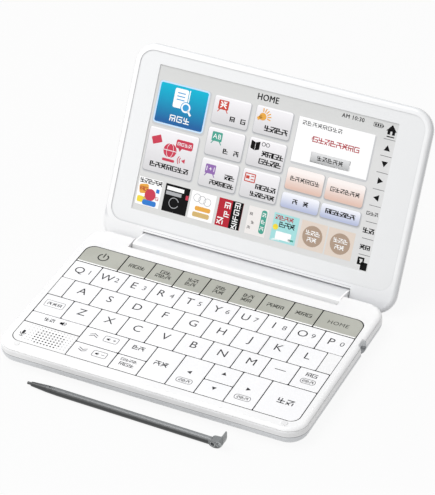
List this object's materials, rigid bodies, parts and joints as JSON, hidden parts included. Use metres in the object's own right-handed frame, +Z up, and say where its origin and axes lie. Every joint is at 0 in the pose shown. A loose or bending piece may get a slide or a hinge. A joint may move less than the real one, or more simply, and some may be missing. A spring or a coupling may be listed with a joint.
{
  "type": "electronic dictionary",
  "caption": "Folding pocket electronic dictionary: slim base with a flush letter keyboard, two-axis hinge bar, touch screen lid held open, and a separate stylus.",
  "frame": {"origin": "on the desk under the middle of the base, 0.6 mm below the middle of the battery door's outer face", "axes": "+X to the reader's right along the keyboard, +Y from the base's front edge to the hinge, +Z up from the desk"},
  "size_m": [0.1428, 0.1578, 0.0808],
  "materials": {
    "white_shell": "satin white",
    "white_shell_lower": "satin white",
    "foot_rubber": "matte pale grey",
    "screw_steel": "satin",
    "battery_wrap": "matte",
    "board_green": "satin solder mask",
    "key_sheet_rubber": "matte",
    "speaker_black": "matte",
    "pale_grey_plate": "satin",
    "pin_steel": "satin",
    "white_frame": "gloss",
    "white_lid_back": "gloss",
    "touch_film": "satin film over the display",
    "display_frame": "satin",
    "stylus_grey": "satin grey",
    "grey_keys": "satin warm grey",
    "white_keys": "satin white"
  },
  "bodies": {
    "base": {"base_upper_case": "white_shell", "base_lower_case": "white_shell_lower", "rubber_feet": "foot_rubber", "case_screws": "screw_steel", "battery_door": "white_shell_lower", "battery_pack": "battery_wrap", "main_board": "board_green", "dome_sheet": "key_sheet_rubber", "speaker_unit": "speaker_black"},
    "spine": {"hinge_spine": "white_shell", "spine_plate": "pale_grey_plate", "hinge_pins": "pin_steel"},
    "lid": {"lid_front_frame": "white_frame", "lid_back_cover": "white_lid_back", "touch_panel": "touch_film", "display_module": "display_frame"},
    "stylus": {"stylus": "stylus_grey"},
    "function_keys": {"keys_function": "grey_keys"},
    "key_power_cap": {"key_power": "grey_keys"},
    "key_home_cap": {"key_home": "grey_keys"},
    "key_q_cap": {"key_q": "white_keys"},
    "key_w_cap": {"key_w": "white_keys"},
    "key_e_cap": {"key_e": "white_keys"},
    "key_r_cap": {"key_r": "white_keys"},
    "key_t_cap": {"key_t": "white_keys"},
    "key_y_cap": {"key_y": "white_keys"},
    "key_u_cap": {"key_u": "white_keys"},
    "key_i_cap": {"key_i": "white_keys"},
    "key_o_cap": {"key_o": "white_keys"},
    "key_p_cap": {"key_p": "white_keys"},
    "key_a_cap": {"key_a": "white_keys"},
    "key_s_cap": {"key_s": "white_keys"},
    "key_d_cap": {"key_d": "white_keys"},
    "key_f_cap": {"key_f": "white_keys"},
    "key_g_cap": {"key_g": "white_keys"},
    "key_h_cap": {"key_h": "white_keys"},
    "key_j_cap": {"key_j": "white_keys"},
    "key_k_cap": {"key_k": "white_keys"},
    "key_l_cap": {"key_l": "white_keys"},
    "key_shift_cap": {"key_shift": "white_keys"},
    "key_z_cap": {"key_z": "white_keys"},
    "key_x_cap": {"key_x": "white_keys"},
    "key_c_cap": {"key_c": "white_keys"},
    "key_v_cap": {"key_v": "white_keys"},
    "key_b_cap": {"key_b": "white_keys"},
    "key_n_cap": {"key_n": "white_keys"},
    "key_m_cap": {"key_m": "white_keys"},
    "key_dash_cap": {"key_dash": "white_keys"},
    "key_delete_cap": {"key_delete": "white_keys"},
    "key_sound_cap": {"key_sound": "white_keys"},
    "key_page_up_cap": {"key_page_up": "white_keys"},
    "key_page_down_cap": {"key_page_down": "white_keys"},
    "key_symbol_cap": {"key_symbol": "white_keys"},
    "key_space_cap": {"key_space": "white_keys"},
    "key_back_cap": {"key_back": "white_keys"},
    "key_left_cap": {"key_left": "white_keys"},
    "key_up_cap": {"key_up": "white_keys"},
    "key_down_cap": {"key_down": "white_keys"},
    "key_right_cap": {"key_right": "white_keys"},
    "key_enter_cap": {"key_enter": "white_keys"}
  },
  "joints": [
    {"name": "base_hinge", "type": "hinge", "parent": "base", "child": "spine", "pos_m": [0, 0.04442, 0.00388], "axis": [-1, 0, 0], "range_deg": [-103.49, 76.51]},
    {"name": "lid_hinge", "type": "hinge", "parent": "spine", "child": "lid", "pos_m": [0, 0.05368, 0.00166], "axis": [-1, 0, 0], "range_deg": [-15.57, 164.43]},
    {"name": "stylus_lift", "type": "slide", "parent": "base", "child": "stylus", "axis": [0, 0, 1], "range_m": [0, 0.03]},
    {"name": "function_keys_press", "type": "slide", "parent": "base", "child": "function_keys", "axis": [0, 0, -1], "range_m": [0, 0.0008], "stiffness_N_per_m": 600},
    {"name": "press_power", "type": "slide", "parent": "base", "child": "key_power_cap", "axis": [0, 0, -1], "range_m": [0, 0.0008], "stiffness_N_per_m": 600},
    {"name": "press_home", "type": "slide", "parent": "base", "child": "key_home_cap", "axis": [0, 0, -1], "range_m": [0, 0.0008], "stiffness_N_per_m": 600},
    {"name": "press_q", "type": "slide", "parent": "base", "child": "key_q_cap", "axis": [0, 0, -1], "range_m": [0, 0.0008], "stiffness_N_per_m": 600},
    {"name": "press_w", "type": "slide", "parent": "base", "child": "key_w_cap", "axis": [0, 0, -1], "range_m": [0, 0.0008], "stiffness_N_per_m": 600},
    {"name": "press_e", "type": "slide", "parent": "base", "child": "key_e_cap", "axis": [0, 0, -1], "range_m": [0, 0.0008], "stiffness_N_per_m": 600},
    {"name": "press_r", "type": "slide", "parent": "base", "child": "key_r_cap", "axis": [0, 0, -1], "range_m": [0, 0.0008], "stiffness_N_per_m": 600},
    {"name": "press_t", "type": "slide", "parent": "base", "child": "key_t_cap", "axis": [0, 0, -1], "range_m": [0, 0.0008], "stiffness_N_per_m": 600},
    {"name": "press_y", "type": "slide", "parent": "base", "child": "key_y_cap", "axis": [0, 0, -1], "range_m": [0, 0.0008], "stiffness_N_per_m": 600},
    {"name": "press_u", "type": "slide", "parent": "base", "child": "key_u_cap", "axis": [0, 0, -1], "range_m": [0, 0.0008], "stiffness_N_per_m": 600},
    {"name": "press_i", "type": "slide", "parent": "base", "child": "key_i_cap", "axis": [0, 0, -1], "range_m": [0, 0.0008], "stiffness_N_per_m": 600},
    {"name": "press_o", "type": "slide", "parent": "base", "child": "key_o_cap", "axis": [0, 0, -1], "range_m": [0, 0.0008], "stiffness_N_per_m": 600},
    {"name": "press_p", "type": "slide", "parent": "base", "child": "key_p_cap", "axis": [0, 0, -1], "range_m": [0, 0.0008], "stiffness_N_per_m": 600},
    {"name": "press_a", "type": "slide", "parent": "base", "child": "key_a_cap", "axis": [0, 0, -1], "range_m": [0, 0.0008], "stiffness_N_per_m": 600},
    {"name": "press_s", "type": "slide", "parent": "base", "child": "key_s_cap", "axis": [0, 0, -1], "range_m": [0, 0.0008], "stiffness_N_per_m": 600},
    {"name": "press_d", "type": "slide", "parent": "base", "child": "key_d_cap", "axis": [0, 0, -1], "range_m": [0, 0.0008], "stiffness_N_per_m": 600},
    {"name": "press_f", "type": "slide", "parent": "base", "child": "key_f_cap", "axis": [0, 0, -1], "range_m": [0, 0.0008], "stiffness_N_per_m": 600},
    {"name": "press_g", "type": "slide", "parent": "base", "child": "key_g_cap", "axis": [0, 0, -1], "range_m": [0, 0.0008], "stiffness_N_per_m": 600},
    {"name": "press_h", "type": "slide", "parent": "base", "child": "key_h_cap", "axis": [0, 0, -1], "range_m": [0, 0.0008], "stiffness_N_per_m": 600},
    {"name": "press_j", "type": "slide", "parent": "base", "child": "key_j_cap", "axis": [0, 0, -1], "range_m": [0, 0.0008], "stiffness_N_per_m": 600},
    {"name": "press_k", "type": "slide", "parent": "base", "child": "key_k_cap", "axis": [0, 0, -1], "range_m": [0, 0.0008], "stiffness_N_per_m": 600},
    {"name": "press_l", "type": "slide", "parent": "base", "child": "key_l_cap", "axis": [0, 0, -1], "range_m": [0, 0.0008], "stiffness_N_per_m": 600},
    {"name": "press_shift", "type": "slide", "parent": "base", "child": "key_shift_cap", "axis": [0, 0, -1], "range_m": [0, 0.0008], "stiffness_N_per_m": 600},
    {"name": "press_z", "type": "slide", "parent": "base", "child": "key_z_cap", "axis": [0, 0, -1], "range_m": [0, 0.0008], "stiffness_N_per_m": 600},
    {"name": "press_x", "type": "slide", "parent": "base", "child": "key_x_cap", "axis": [0, 0, -1], "range_m": [0, 0.0008], "stiffness_N_per_m": 600},
    {"name": "press_c", "type": "slide", "parent": "base", "child": "key_c_cap", "axis": [0, 0, -1], "range_m": [0, 0.0008], "stiffness_N_per_m": 600},
    {"name": "press_v", "type": "slide", "parent": "base", "child": "key_v_cap", "axis": [0, 0, -1], "range_m": [0, 0.0008], "stiffness_N_per_m": 600},
    {"name": "press_b", "type": "slide", "parent": "base", "child": "key_b_cap", "axis": [0, 0, -1], "range_m": [0, 0.0008], "stiffness_N_per_m": 600},
    {"name": "press_n", "type": "slide", "parent": "base", "child": "key_n_cap", "axis": [0, 0, -1], "range_m": [0, 0.0008], "stiffness_N_per_m": 600},
    {"name": "press_m", "type": "slide", "parent": "base", "child": "key_m_cap", "axis": [0, 0, -1], "range_m": [0, 0.0008], "stiffness_N_per_m": 600},
    {"name": "press_dash", "type": "slide", "parent": "base", "child": "key_dash_cap", "axis": [0, 0, -1], "range_m": [0, 0.0008], "stiffness_N_per_m": 600},
    {"name": "press_delete", "type": "slide", "parent": "base", "child": "key_delete_cap", "axis": [0, 0, -1], "range_m": [0, 0.0008], "stiffness_N_per_m": 600},
    {"name": "press_sound", "type": "slide", "parent": "base", "child": "key_sound_cap", "axis": [0, 0, -1], "range_m": [0, 0.0008], "stiffness_N_per_m": 600},
    {"name": "press_page_up", "type": "slide", "parent": "base", "child": "key_page_up_cap", "axis": [0, 0, -1], "range_m": [0, 0.0008], "stiffness_N_per_m": 600},
    {"name": "press_page_down", "type": "slide", "parent": "base", "child": "key_page_down_cap", "axis": [0, 0, -1], "range_m": [0, 0.0008], "stiffness_N_per_m": 600},
    {"name": "press_symbol", "type": "slide", "parent": "base", "child": "key_symbol_cap", "axis": [0, 0, -1], "range_m": [0, 0.0008], "stiffness_N_per_m": 600},
    {"name": "press_space", "type": "slide", "parent": "base", "child": "key_space_cap", "axis": [0, 0, -1], "range_m": [0, 0.0008], "stiffness_N_per_m": 600},
    {"name": "press_back", "type": "slide", "parent": "base", "child": "key_back_cap", "axis": [0, 0, -1], "range_m": [0, 0.0008], "stiffness_N_per_m": 600},
    {"name": "press_left", "type": "slide", "parent": "base", "child": "key_left_cap", "axis": [0, 0, -1], "range_m": [0, 0.0008], "stiffness_N_per_m": 600},
    {"name": "press_up", "type": "slide", "parent": "base", "child": "key_up_cap", "axis": [0, 0, -1], "range_m": [0, 0.0008], "stiffness_N_per_m": 600},
    {"name": "press_down", "type": "slide", "parent": "base", "child": "key_down_cap", "axis": [0, 0, -1], "range_m": [0, 0.0008], "stiffness_N_per_m": 600},
    {"name": "press_right", "type": "slide", "parent": "base", "child": "key_right_cap", "axis": [0, 0, -1], "range_m": [0, 0.0008], "stiffness_N_per_m": 600},
    {"name": "press_enter", "type": "slide", "parent": "base", "child": "key_enter_cap", "axis": [0, 0, -1], "range_m": [0, 0.0008], "stiffness_N_per_m": 600}
  ]
}
